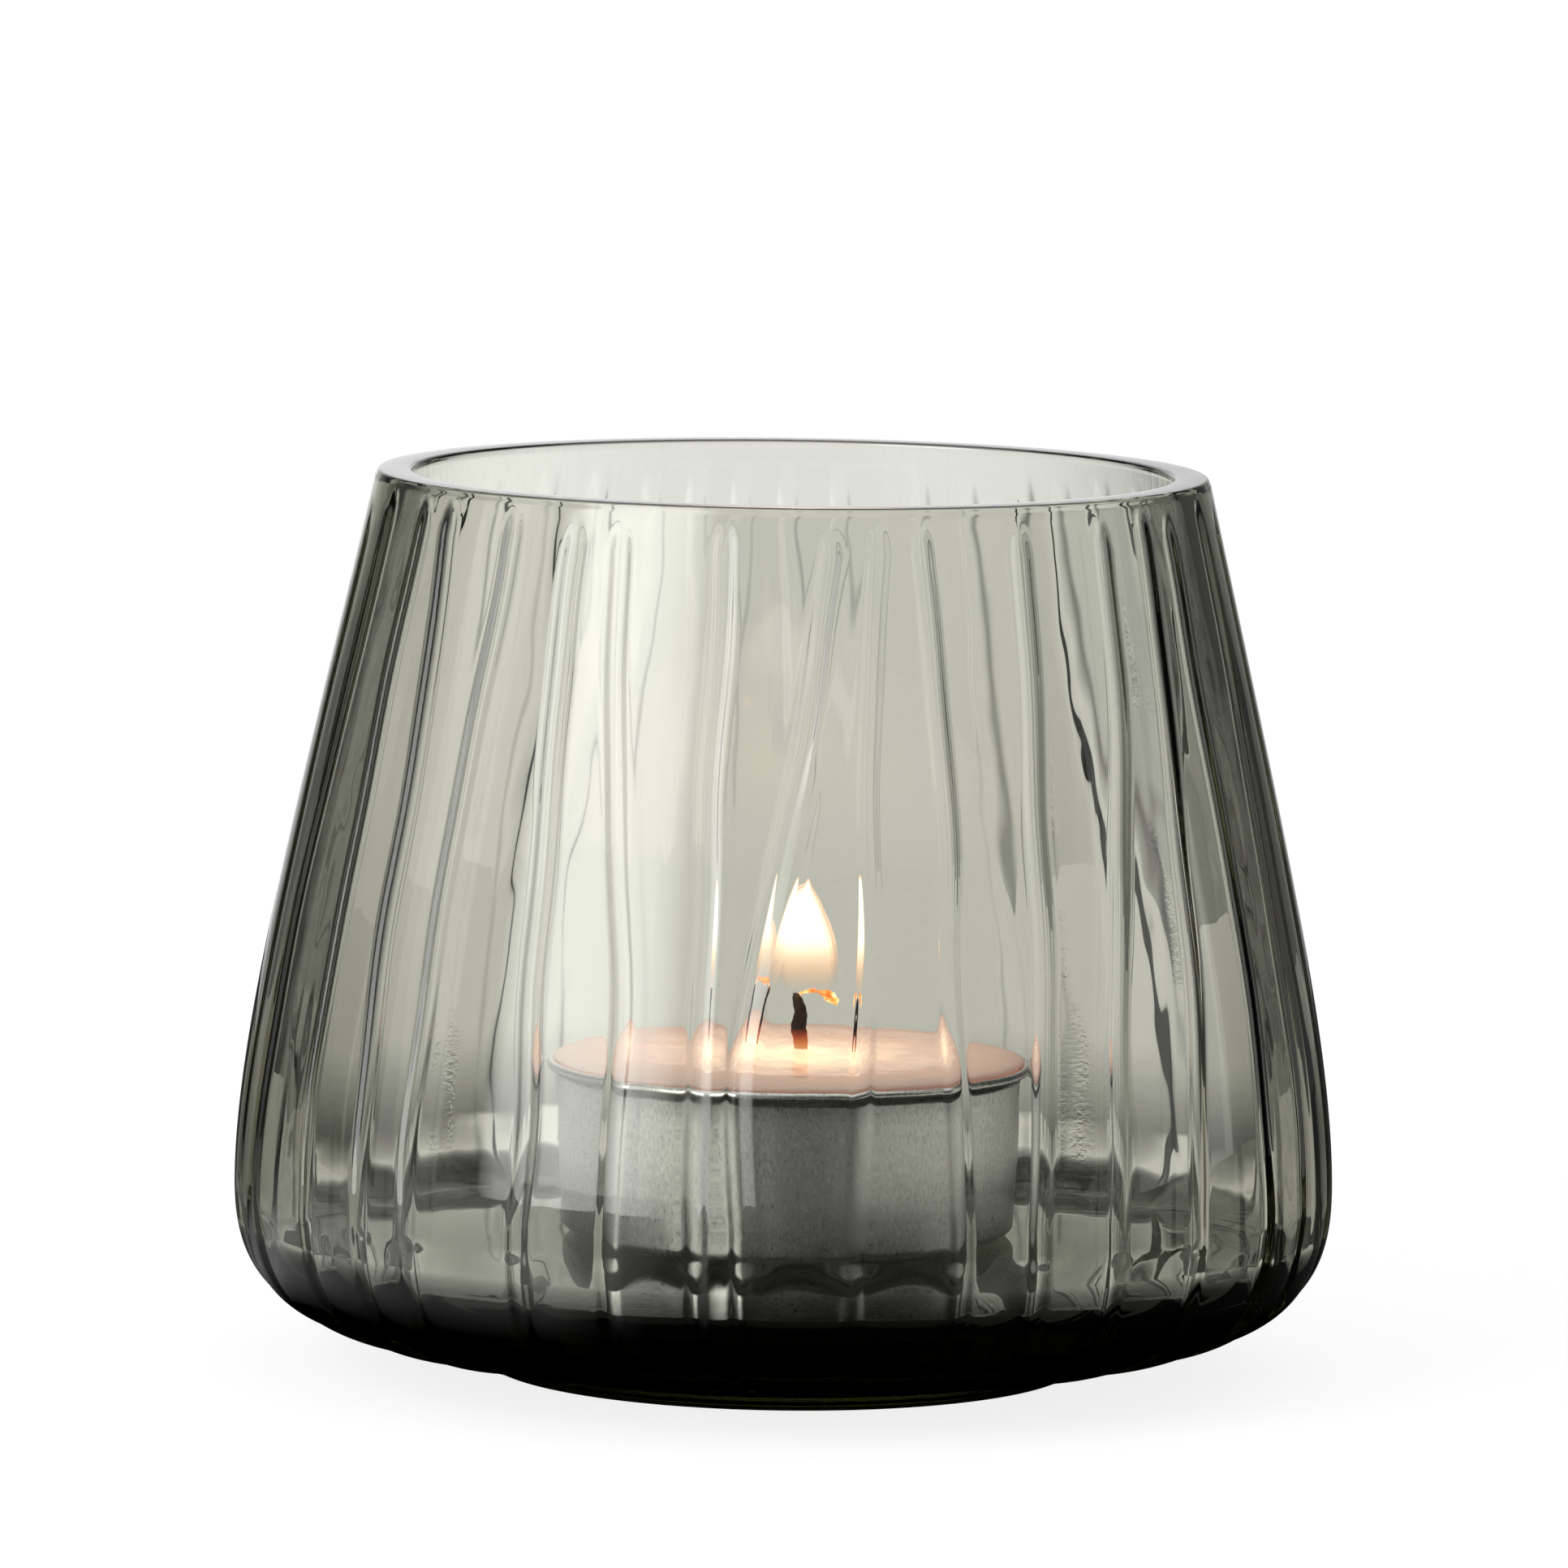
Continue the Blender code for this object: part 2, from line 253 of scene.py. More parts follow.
NEAR_COLUMNS = (0.0, 0.4, 0.65, 0.8, 0.9, 0.97, 1.05, 1.15, 1.3, 1.5, 1.9)  # in half widths
MIDDLE_COLUMNS = 8
WIDE_PANEL = 0.0034
SHOULDER_ROWS = 44
WALL_ROWS = 120
INSIDE_ROWS = 40
FILLET_ROWS = 14
FLOOR_ROWS = 16
FLOOR_SHARES = (0.9, 0.7, 0.5, 0.3, 0.1)  # rings of the floor's flat middle
UNDERSIDE_STEPS = (0.0, 0.5, 0.8, 0.95)
UNDERSIDE_MIDDLE = 0.002
EDGE_STEP = 15  # degrees
GROOVE_ROOT = 9  # the grooves reach their depth over one part in this of the shoulder
ROWS_TOWARDS_RIM = 1.25
OUTSIDE_WAVE_FADE = 0.004
INSIDE_WAVE_FADE = 0.006

# Looks: glows are (share of the way, colour)
GLASS_IOR = 1.5
SMOKE_COLOUR = (0.542, 0.547, 0.415, 1)
SMOKE_DENSITY = 190.0
BACK_SECTOR = 1.2  # radians to each side of the back
PITTED_STREAKS = ((0.174, 0.180, 0.187), (0.764, 0.770, 0.777), (0.900, 0.905, 0.911))
PITTED_FULL = 0.060  # up to this height, and then less up to the next
PITTED_END = 0.064
PIT_STRENGTH = 0.26
MELT_EDGE = (0.0115, 0.0145)  # from the wick
MELT_AND_GLOW_UNEVEN = 0.0035
# Painted light on the wax: an emission stands in for the flame's light on the wax's top, fading with
# distance from the wick and with depth below the top, brightest next to the wick as a painted highlight
# on the melt pool
GLOW_REACH = 0.021
GLOW_DEPTH = 0.0030
GLOW_FULL_DEPTH = 0.0008
GLOW_STRENGTH = 0.7
WAX_GLOW = (
    (0.0, (1.6, 1.15, 0.75)),
    (0.12, (1.2, 0.86, 0.58)),
    (0.5, (0.50, 0.22, 0.17)),
    (1.0, (0.22, 0.08, 0.08)),
)
# Painted light on the wick's foot: a warm emission from just below the wax's top that fades out up the
# wick
WICK_GLOW_BELOW = 0.0004  # the wax's top
WICK_GLOW = (
    (0.0, (1.0, 0.62, 0.30)),
    (0.16, (0.9, 0.28, 0.08)),
    (0.30, (0.40, 0.05, 0.02)),
    (0.42, (0, 0, 0)),
)
EMBER_GLOW = ((0.35, (0.9, 0.16, 0.03)), (0.5, (1.3, 0.42, 0.10)), (0.62, (2.2, 1.5, 0.7)))

# Studio: curtains with (share of their width, shade), and floor cards with (metres, shade) outwards
# and (azimuth, shade) around. They are seen only through the glass and in reflections. The floor
# cards are painted light and shade: a painted shadow round the object and a painted pool of the soft
# light.
SIDE_DISTANCE = 0.34
SIDE_HEIGHT = 0.5
LEFT_SHADES = (
    (0.0, 1.0), (0.069, 1.15), (0.129, 1.1), (0.172, 0.9), (0.267, 0.35), (0.353, 0.07),
    (0.93, 0.04), (1.0, 0.2),
)
RIGHT_SHADES = (
    (0.0, 1.0), (0.04, 1.0), (0.093, 0.80), (0.16, 0.50), (0.25, 0.24), (0.36, 0.09),
    (0.92, 0.05), (1.0, 0.3),
)
FRONT_SHADES = ((0.0, 0.3), (0.06, 0.04), (0.94, 0.04), (1.0, 0.3))
SOFT_SHADES = ((0.0, 0.0), (0.12, 0.8), (0.4, 1.0), (0.75, 0.8), (1.0, 0.0))
CURTAIN_COLUMNS = 32
CARD_RADIUS = 0.95
CARD_SEGMENTS = 96
BEHIND = ((-180, 1.0), (-152, 1.0), (-138, 0.0), (138, 0.0), (152, 1.0), (180, 1.0))
# Painted shade on the floor, seen only in reflections: dark under the object and all round it, except
# for a painted pool of the soft light at front left
MIRRORED_PAINTED_SHADE = ((0.0, 0.0), (0.046, 0.0), (0.056, 0.5), (0.08, 1.0))
MIRRORED_PAINTED_LIGHT_AND_SHADE = ((-180, 0.04), (-125, 0.04), (-100, 0.7), (-34, 0.9), (-18, 0.04), (180, 0.04))
# Painted shadow on the floor, seen only through the glass: darkest under the object and out to a wider
# reach behind it, with darker sectors of painted shade and a painted pool of the soft light at front
# left
SEEN_PAINTED_SHADOW = ((0.0, 0.01), (0.046, 0.03), (0.065, 0.25), (0.09, 0.6), (0.12, 0.9), (0.15, 1.0))
SEEN_PAINTED_SHADE_BEHIND = ((0.0, 0.01), (0.05, 0.02), (0.10, 0.12), (0.14, 0.35), (0.18, 0.8), (0.2, 1.0))
SEEN_PAINTED_LIGHT_AND_SHADE = (
    (-180, 1.0), (-168, 1.0), (-154, 0.6), (-110, 0.5), (-92, 0.4), (-76, 0.9), (-42, 1.4),
    (-28, 0.6), (-10, 0.3), (22, 0.3), (38, 0.9), (80, 1.1), (100, 1.1), (115, 0.8),
    (150, 0.5), (165, 1.0), (180, 1.0),
)
MIRRORED_HEIGHT = -0.00003
SEEN_HEIGHT = -0.00004
FLOOR_HEIGHT = -0.00005
FLOOR_SIZE = 40.0
FLOOR_SHADE = 0.18
FLOOR_LIGHT = 0.83
CAMERA_DISTANCE = 0.940
CAMERA_HEIGHT = 0.154
CAMERA_PITCH = 7.3  # degrees down
CAMERA_ROLL = 0.80
CAMERA_LENS = 264.6
CAMERA_SHIFT = (-0.0015, 0.1117)


def bezier(points, step):
    """A point of a cubic curve."""
    rest = 1 - step
    weights = (rest**3, 3 * rest * rest * step, 3 * rest * step * step, step**3)
    return tuple(sum(w * p[axis] for w, p in zip(weights, points)) for axis in (0, 1))


def shoulder(step):
    return bezier(SHOULDER, step)


def wall(step):
    return bezier(WALL, step)


def outward(curve, step):
    """The outward direction of a curve of the outline."""
    before, after = curve(max(step - CURVE_STEP, 0)), curve(min(step + CURVE_STEP, 1))
    radial, rise = after[0] - before[0], after[1] - before[1]
    length = math.hypot(radial, rise)
    return rise / length, -radial / length


def groove_lines():
    """Each groove's directions at the groove heights, in degrees, in order round the glass."""
    rng = random.Random(LEAN_SEED)
    right, left = FRONT_GROOVES[-1][0], FRONT_GROOVES[0][0] + 360
    others = []
    for start, end in ((right, BACK_GROOVES[0]), (BACK_GROOVES[-1], left)):
        gap = (end - start) / (SIDE_GROOVES + 1)
        others.append([start + gap * (count + 1) for count in range(SIDE_GROOVES)])
    lines = list(FRONT_GROOVES)
    last = len(GROOVE_HEIGHTS) - 1
    for angle in others[0] + list(BACK_GROOVES) + others[1]:
        lean = rng.uniform(-LEAN, LEAN)
        lines.append(tuple(angle + lean * count / last for count in range(last + 1)))
    return lines


class Grooves:
    """Where every groove runs, and how far the outside of the glass is pressed in by them."""

    def __init__(self):
        rng = random.Random(GROOVE_SEED)
        self.lines = np.array(groove_lines())
        count = len(self.lines)
        self.phase = np.array([[rng.uniform(0, 2 * math.pi) for _ in range(2)] for _ in range(count)])
        starts = [GROOVE_START + rng.uniform(-1, 1) * GROOVE_START_SPREAD for _ in range(count)]
        self.start = np.array(starts)
        self.strength = np.array([rng.uniform(*STRENGTH_RANGE) for _ in range(count)])
        self.strength[len(FRONT_GROOVES):] *= BACK_STRENGTH
        for index, strength in STRONG_GROOVES:
            self.strength[index] = strength
        self.tipped = np.arange(count) < len(FRONT_GROOVES)

    def angles(self, height):
        """The grooves' directions at a height: a cubic through their four, with a slight wander."""
        inside = min(max(height, GROOVE_HEIGHTS[-1]), GROOVE_HEIGHTS[0])
        angles = np.zeros(len(self.lines))
        for index, own in enumerate(GROOVE_HEIGHTS):
            weight = 1.0
            for other in GROOVE_HEIGHTS:
                if other != own:
                    weight *= (inside - other) / (own - other)
            angles += weight * self.lines[:, index]
        turns = inside / GLASS_HEIGHT * 2 * math.pi
        slow = np.sin(SLOW_WANDER * turns + self.phase[:, 0])
        fast = np.sin(FAST_WANDER * turns + self.phase[:, 1])
        return angles + WANDER * (slow + FAST_SHARE * fast)

    def ring(self, height, radius):
        """Each column's direction at a height, and its offset in the outline's outward direction."""
        angles = self.angles(height)
        after = np.append(angles[1:], angles[0] + 360)
        pitch = after - angles
        span = (np.radians(pitch) * radius)[:, None]
        near = np.array(NEAR_COLUMNS) * GROOVE_HALF_WIDTH * np.minimum(span / WIDE_PANEL, 1)
        steps = np.arange(1, MIDDLE_COLUMNS + 1) / (MIDDLE_COLUMNS + 1)
        middle = near[:, -1:] + (span - 2 * near[:, -1:]) * steps
        left = np.concatenate([near, middle, span - near[:, :0:-1]], axis=1)
        share = left / span
        directions = angles[:, None] + pitch[:, None] * share
        below = GLASS_HEIGHT - self.start - height
        above = np.where(self.tipped, np.maximum(GROOVE_HALF_WIDTH / TIP_SLOPE - below, 0), 0)
        fade = np.clip(below / SOFT_START, 0, 1)
        depth = GROOVE_DEPTH * self.strength * np.where(self.tipped, 1, fade * fade * (3 - 2 * fade))
        offset = np.zeros_like(directions)
        for distance, over, deep in (
            (left, above, depth),
            (span - left, np.append(above[1:], above[0]), np.append(depth[1:], depth[0])),
        ):
            far = np.hypot(distance, over[:, None] * TIP_SLOPE) / GROOVE_HALF_WIDTH
            offset -= deep[:, None] * np.exp(-(far**SIDE_STEEPNESS))
        distance = left[FLANKED_GROOVE]
        channel = np.exp(-((distance / GROOVE_HALF_WIDTH) ** SIDE_STEEPNESS))
        bevel = np.interp(distance, (FLANK_START, FLANK_END, RIDGE_END), (1, -RIDGE, 0))
        reach = min(FLANK_TOP - height, height - FLANK_BOTTOM) / FLANK_FADE
        offset[FLANKED_GROOVE] -= depth[FLANKED_GROOVE] * (bevel - channel) * min(max(reach, 0), 1)
        lower = min(max((BELLY_HEIGHT - height) / (BELLY_HEIGHT - FOOT_HEIGHT), 0), 1)
        ramp = min(max((GLASS_HEIGHT - BULGE_BELOW_RIM - height) / BULGE_FADE, 0), 1)
        along = min(lower**SHOULDER_SKEW, SHOULDER_STOP)
        bulge = PANEL_BULGE * ramp + SHOULDER_BULGE * math.sin(math.pi * along)
        offset -= bulge * (1 - np.sin(math.pi * share) ** PANEL_FLATNESS)
        return np.radians(directions).ravel(), offset.ravel()


def inner_radius(height):
    """The radius of the inside of the wall at a height."""
    low, high = 0.0, 1.0
    for _ in range(BISECTIONS):
        middle = (low + high) / 2
        low, high = (middle, high) if wall(middle)[1] < height else (low, middle)
    share = (height - BELLY_HEIGHT) / (GLASS_HEIGHT - BELLY_HEIGHT)
    return wall(low)[0] - BELLY_WALL - (RIM_WALL - BELLY_WALL) * share


def glass_outline():
    """Rows from the foot up over the rim and down to the middle of the floor.

    Each is (point, outward direction, share of the grooves' offset, share of the waviness).
    """
    rows = []
    for step in UNDERSIDE_STEPS:
        radius = (FOOT_RADIUS - FOOT_EDGE) * step + UNDERSIDE_MIDDLE * (1 - step)
        rows.append(((radius, 0.0), (0, -1), 0, 0))
    for turn in range(0, 91, EDGE_STEP):
        angle = math.radians(turn)
        radius = FOOT_RADIUS - FOOT_EDGE * (1 - math.sin(angle))
        rows.append(((radius, FOOT_EDGE * (1 - math.cos(angle))), (1, 0), 0, 0))
    for step in np.linspace(0, 1, SHOULDER_ROWS)[:-1]:
        share = min(step * GROOVE_ROOT, 1)
        rows.append((shoulder(step), outward(shoulder, step), share, share))
    steps = np.linspace(0, 1, WALL_ROWS)
    for step in 1 - (1 - steps) ** ROWS_TOWARDS_RIM:
        point = wall(step)
        if point[1] < GLASS_HEIGHT - RIM_EDGE:
            wavy = min((GLASS_HEIGHT - point[1]) / OUTSIDE_WAVE_FADE, 1)
            rows.append((point, outward(wall, step), 1, wavy))
    rim_inside = inner_radius(GLASS_HEIGHT)
    edge_turns = range(0, 91, EDGE_STEP)
    for start, side, turns in ((RIM_RADIUS, -1, edge_turns), (rim_inside, 1, reversed(edge_turns))):
        for turn in turns:
            angle = math.radians(turn)
            radius = start + side * RIM_EDGE * (1 - math.cos(angle))
            lift = RIM_EDGE * (1 - math.sin(angle))
            rows.append(((radius, GLASS_HEIGHT - lift), (0, 1), 0, 0))
    fillet_top = GLASS_FLOOR - FLOOR_FALL + FLOOR_FILLET
    for share in np.linspace(1, 0, INSIDE_ROWS)[1:]:
        height = fillet_top + (GLASS_HEIGHT - RIM_EDGE - fillet_top) * share
        wavy = min((GLASS_HEIGHT - height) / INSIDE_WAVE_FADE, 1)
        rows.append(((inner_radius(height), height), (-1, 0), 0, wavy))
    for turn in np.linspace(0, 90, FILLET_ROWS)[1:]:
        angle = math.radians(turn)
        radius = inner_radius(fillet_top) - FLOOR_FILLET * (1 - math.cos(angle))
        point = (radius, fillet_top - FLOOR_FILLET * math.sin(angle))
        rows.append((point, (-math.cos(angle), math.sin(angle)), 0, math.cos(angle)))
    floor_radius = rows[-1][0][0]
    for step in np.linspace(0, 1, FLOOR_ROWS)[1:]:
        eased = step * step * (3 - 2 * step)
        radius = floor_radius + (FLOOR_FLAT_RADIUS - floor_radius) * step
        rows.append(((radius, GLASS_FLOOR - FLOOR_FALL * (1 - eased)), (0, 1), 0, 0))
    for share in FLOOR_SHARES:
        rows.append(((FLOOR_FLAT_RADIUS * share, GLASS_FLOOR), (0, 1), 0, 0))
    return rows


def waviness(place, seed):
    """How far the surface stands out of its true shape at a point."""
    point = Vector(place)
    slow, fine = (
        noise.noise(Vector((point.x * across, point.y * across, point.z * up + seed)))
        for across, up in (SLOW_WAVES, FINE_WAVES)
    )
    return SLOW_HEIGHT * slow + FINE_HEIGHT * fine


def new_object(name, vertices, faces, surface):
    data = bpy.data.meshes.new(name)
    data.from_pydata(vertices, [], faces)
    data.update()
    made = bpy.data.objects.new(name, data)
    bpy.context.scene.collection.objects.link(made)
    data.materials.append(surface)
    data.shade_smooth()
    return made


def tube_faces(first, rows, count):
    """The faces of a tube with capped ends. Its rings of vertices follow each other from the first."""
    faces = []
    for row in range(rows - 1):
        low, high = first + row * count, first + (row + 1) * count
        for index in range(count):
            after = (index + 1) % count
            faces.append((low + index, low + after, high + after, high + index))
    last = first + (rows - 1) * count
    faces.append(tuple(reversed(range(first, first + count))))
    faces.append(tuple(range(last, last + count)))
    return faces


def skin(name, rings, surface):
    """A closed mesh through rings of points."""
    vertices = [tuple(point) for ring in rings for point in ring]
    return new_object(name, vertices, tube_faces(0, len(rings), len(rings[0])), surface)


def glass_object(surface):
    grooves = Grooves()
    rings = []
    for point, normal, share, wavy in glass_outline():
        directions, offset = grooves.ring(point[1], point[0])
        radius = point[0] + normal[0] * offset * share
        height = point[1] + normal[1] * offset * share
        ring = np.column_stack([radius * np.sin(directions), -radius * np.cos(directions), height])
        if wavy:
            seed = INSIDE_SEED if normal[0] < 0 else 0.0
            lift = np.array([waviness(place, seed) for place in ring]) * wavy
            ring[:, 0] += lift * normal[0] * np.sin(directions)
            ring[:, 1] -= lift * normal[0] * np.cos(directions)
            ring[:, 2] += lift * normal[1]
        rings.append(ring)
    return skin("smoked_glass_body", rings, surface)


def turns_round(segments):
    return np.linspace(0, 2 * math.pi, segments, endpoint=False)


def circle(radius, height, centre, segments):
    turns = turns_round(segments)
    across, forwards = radius * np.cos(turns), radius * np.sin(turns)
    return np.column_stack([centre[0] + across, centre[1] + forwards, np.full(segments, height)])


def arc(centre, radius, start, end, steps=8):
    """Points of an outline round a centre, from one turn to another in degrees from straight out."""
    turns = [math.radians(start + (end - start) * count / steps) for count in range(steps + 1)]
    return [(centre[0] + radius * math.cos(t), centre[1] + radius * math.sin(t)) for t in turns]


def cup_object(surface):
    """A drawn cup with a recessed base and its mouth rolled outwards into a bead."""
    low, top = CUP_LOW.z, CUP_HIGH.z
    lip = (CUP_HIGH.x - CUP_LOW.x) / 2
    outline = [(0.0004, low + 0.0004), (0.0144, low + 0.0004)]
    outline += arc((0.0152, low + 0.0004), 0.0004, 180, 270, 5)
    outline += arc((0.0178, low + 0.0008), 0.0008, 270, 360)
    outline += [(0.0187, low + 0.0050), (0.0188, top - 0.0030), (0.0189, top - 0.0013)]
    outline += arc((lip - CUP_BEAD, top - CUP_BEAD), CUP_BEAD, -120, 180, 18)
    outline += [(0.01870, top - 0.0013), (0.0184, low + 0.0040)]
    outline += arc((0.0177, low + 0.0011), 0.0006, 0, -90)
    outline += [(0.0152, low + 0.0005), (0.0144, low + 0.0007), (0.0004, low + 0.0007)]
    turns = turns_round(CUP_SEGMENTS)
    rings = []
    for radius, height in outline:
        ring = circle(radius, height, CUP_CENTRE, CUP_SEGMENTS)
        spots = [
            Vector((DENTS_ROUND * math.cos(turn), DENTS_ROUND * math.sin(turn), height * DENTS_UP))
            for turn in turns
        ]
        dents = np.array([noise.noise(spot) for spot in spots])
        swell = dents * (DENT_DEPTH if radius > DENTED_RADIUS else 0)
        ring[:, 0] += swell * np.cos(turns)
        ring[:, 1] += swell * np.sin(turns)
        rings.append(ring)
    return skin("tealight_cup_sheet", rings, surface)


def wax_height(radius, place):
    """The height of the wax's top: a shallow pool of melted wax that climbs a little up the wick."""
    pool = min(max((POOL_RADIUS - radius) / POOL_BANK, 0), 1)
    pool = pool * pool * (3 - 2 * pool)
    climb = CLIMB_HEIGHT * math.exp(-max(radius - CLIMB_START, 0) / CLIMB_WIDTH)
    spot = Vector((place[0] * WAX_UNEVEN_SCALE, place[1] * WAX_UNEVEN_SCALE, 1.0))
    uneven = noise.noise(spot) * (1 - pool)
    return WAX_HIGH.z - WAX_BELOW_CAD - POOL_DEPTH * pool + climb + WAX_UNEVEN * uneven


def wax_object(surface):
    """The wax: its side follows the cup, and its top's rings close round the wick."""
    rings = []
    for base, side in ((WAX_LOW.z, WAX_FOOT), (CUP_HIGH.z, WAX_SHOULDER)):
        rings += [circle(radius, base + rise, CUP_CENTRE, WAX_SEGMENTS) for radius, rise in side]
    for radius in WAX_TOP_RADII:
        share = (radius / WAX_TOP_RADII[0]) ** WAX_RINGS_EASE
        centre = [w + (c - w) * share for w, c in zip(WICK_CENTRE, CUP_CENTRE)]
        ring = circle(radius, WAX_HIGH.z, centre, WAX_SEGMENTS)
        ring[:, 2] = [wax_height(radius, point) for point in ring]
        rings.append(ring)
    return skin("wax_body", rings, surface)


def wick_object(surface):
    """A braided wick: three strands that turn round each other, burnt thin at the top."""
    low, top = WAX_HIGH.z - WICK_IN_WAX, WICK_HIGH.z
    turns = turns_round(WICK_SEGMENTS)
    rings = []
    for share in np.linspace(0, 1, WICK_ROWS):
        height = low + (top - low) * share
        out = max(height - WAX_HIGH.z, 0) / (top - WAX_HIGH.z)
        twist = height * 2 * math.pi / BRAID_PITCH
        strands = STRAND_DEPTH * np.cos(STRANDS * turns - twist)
        fibres = FIBRE_DEPTH * np.cos(FIBRES * turns + FIBRE_TWIST * twist)
        swell = 1 + WICK_SWELL[0] * math.sin(out * WICK_SWELL[1])
        thin = 1 if share < WICK_TIP_START else WICK_TIP_SHARE
        radius = WICK_RADIUS * (1 + strands + fibres) * swell * thin
        bend = -WICK_BEND * out * out - WICK_SWAY[0] * math.sin(out * WICK_SWAY[1])
        rings.append(circle(radius, height, (WICK_CENTRE[0] + bend, WICK_CENTRE[1]), WICK_SEGMENTS))
    return skin("wick_braid", rings, surface)


def ember_object(surface):
    """The glowing end of the wick, curled over to the right: uneven lumps on a thin thread."""
    shares = np.linspace(0, 1, EMBER_ROWS)
    knots = np.linspace(0, 1, len(EMBER_PATH))
    path_across, path_up = zip(*EMBER_PATH)
    across = WICK_CENTRE[0] + np.interp(shares, knots, path_across)
    rise = WICK_HIGH.z + np.interp(shares, knots, path_up)
    radii = np.interp(shares, *zip(*EMBER_RADII))
    along = np.column_stack([np.gradient(across), np.gradient(rise)])
    along /= np.linalg.norm(along, axis=1)[:, None]
    turns = turns_round(EMBER_SEGMENTS)
    rings = []
    for row, share in enumerate(shares):
        spots = [Vector((share * EMBER_LUMPS, math.cos(turn), math.sin(turn))) for turn in turns]
        lumps = np.array([noise.noise(spot) for spot in spots])
        radius = radii[row] * (1 + EMBER_LUMP_HEIGHT * lumps)
        sideways, forwards = radius * np.cos(turns), radius * np.sin(turns)
        ring = [
            across[row] + sideways * along[row, 1],
            WICK_CENTRE[1] + forwards,
            rise[row] - sideways * along[row, 0],
        ]
        rings.append(np.column_stack(ring))
    return skin("wick_ember", rings, surface)


class Nodes:
    """A short way to build a node tree."""

    def __init__(self, name):
        self.material = bpy.data.materials.new(name)
        self.material.use_nodes = True
        self.tree = self.material.node_tree
        self.surface = self.tree.nodes["Principled BSDF"]
        self.out = self.tree.nodes["Material Output"]

    def add(self, kind, inputs=None, **settings):
        node = self.tree.nodes.new(kind)
        for key, value in settings.items():
            setattr(node, key, value)
        for key, value in (inputs or {}).items():
            self.set(node, key, value)
        return node

    def set(self, node, key, value):
        if hasattr(value, "is_output"):
            self.tree.links.new(value, node.inputs[key])
        else:
            node.inputs[key].default_value = value

    def ramp(self, factor, stops):
        node = self.add("ShaderNodeValToRGB", {"Fac": factor})
        stripe = node.color_ramp.elements
        while len(stripe) < len(stops):
            stripe.new(0.5)
        for element, (place, colour) in zip(stripe, stops):
            element.position = place
            element.color = (*colour, 1) if len(colour) == 3 else colour
        return node.outputs["Color"]

    def greys(self, factor, stops):
        return self.ramp(factor, [(place, (value,) * 3) for place, value in stops])

    def place(self):
        return self.add("ShaderNodeTexCoord").outputs["Object"]

    def scaled(self, value, start, end, low, high):
        inputs = {"Value": value, "From Min": start, "From Max": end, "To Min": low, "To Max": high}
        return self.add("ShaderNodeMapRange", inputs).outputs["Result"]

    def grey(self, colour):
        return self.add("ShaderNodeRGBToBW", {"Color": colour}).outputs["Val"]

    def multiply(self, first, second):
        return self.add("ShaderNodeMath", {0: first, 1: second}, operation="MULTIPLY").outputs[0]

    def parts(self):
        return self.add("ShaderNodeSeparateXYZ", {"Vector": self.place()}).outputs

    def noise(self, scale, detail, roughness, stretch=None):
        vector = self.place()
        if stretch:
            mapping = self.add("ShaderNodeMapping", {"Vector": vector, "Scale": stretch})
            vector = mapping.outputs["Vector"]
        inputs = {"Vector": vector, "Scale": scale, "Detail": detail, "Roughness": roughness}
        return self.add("ShaderNodeTexNoise", inputs).outputs["Fac"]

    def bump(self, height, strength, distance, normal=None):
        inputs = {"Height": height, "Strength": strength, "Distance": distance}
        if normal is not None:
            inputs["Normal"] = normal
        return self.add("ShaderNodeBump", inputs).outputs["Normal"]

    def principled(self, **values):
        for key, value in values.items():
            self.set(self.surface, key.replace("_", " "), value)

    def glowing(self, colour, strength, base=0):
        """A dull surface with a light of its own."""
        self.principled(
            Base_Color=(base, base, base, 1),
            Roughness=1.0,
            Specular_IOR_Level=0.0,
            Emission_Color=colour,
            Emission_Strength=strength,
        )


def glass_material():
    """Smoked glass. Three narrow streaks at the back are pitted, in patches, up to near the rim."""
    made = Nodes("smoked_glass")
    ripple = made.noise(140.0, 2.0, 0.45, stretch=(1, 1, 0.35))
    parts = made.parts()
    turn = made.add("ShaderNodeMath", {0: parts["X"], 1: parts["Y"]}, operation="ARCTAN2").outputs[0]
    along = made.scaled(turn, -BACK_SECTOR, BACK_SECTOR, 0.0, 1.0)
    black, white = (0, 0, 0), (1, 1, 1)
    stops = [(0.0, black)]
    for start, middle, end in PITTED_STREAKS:
        stops += [(start, black), (middle, white), (end, black)]
    streaks = made.ramp(along, stops)
    patches = made.scaled(made.noise(130.0, 2.0, 0.6), 0.40, 0.52, 0.0, 1.0)
    pits = made.noise(3600.0, 2.0, 0.6, stretch=(1, 1, 0.7))
    lower = made.scaled(parts["Z"], PITTED_END, PITTED_FULL, 0.0, 1.0)
    reach = made.multiply(made.multiply(streaks, patches), lower)
    pitted = made.bump(pits, made.multiply(reach, PIT_STRENGTH), 0.0003)
    made.principled(
        Base_Color=(1.0, 1.0, 1.0, 1),
        Roughness=0.0,
        IOR=GLASS_IOR,
        Transmission_Weight=1.0,
        Normal=made.bump(ripple, 0.05, 0.001, pitted),
    )
    smoke = made.add("ShaderNodeVolumeAbsorption", {"Color": SMOKE_COLOUR, "Density": SMOKE_DENSITY})
    made.tree.links.new(smoke.outputs["Volume"], made.out.inputs["Volume"])
    return made.material


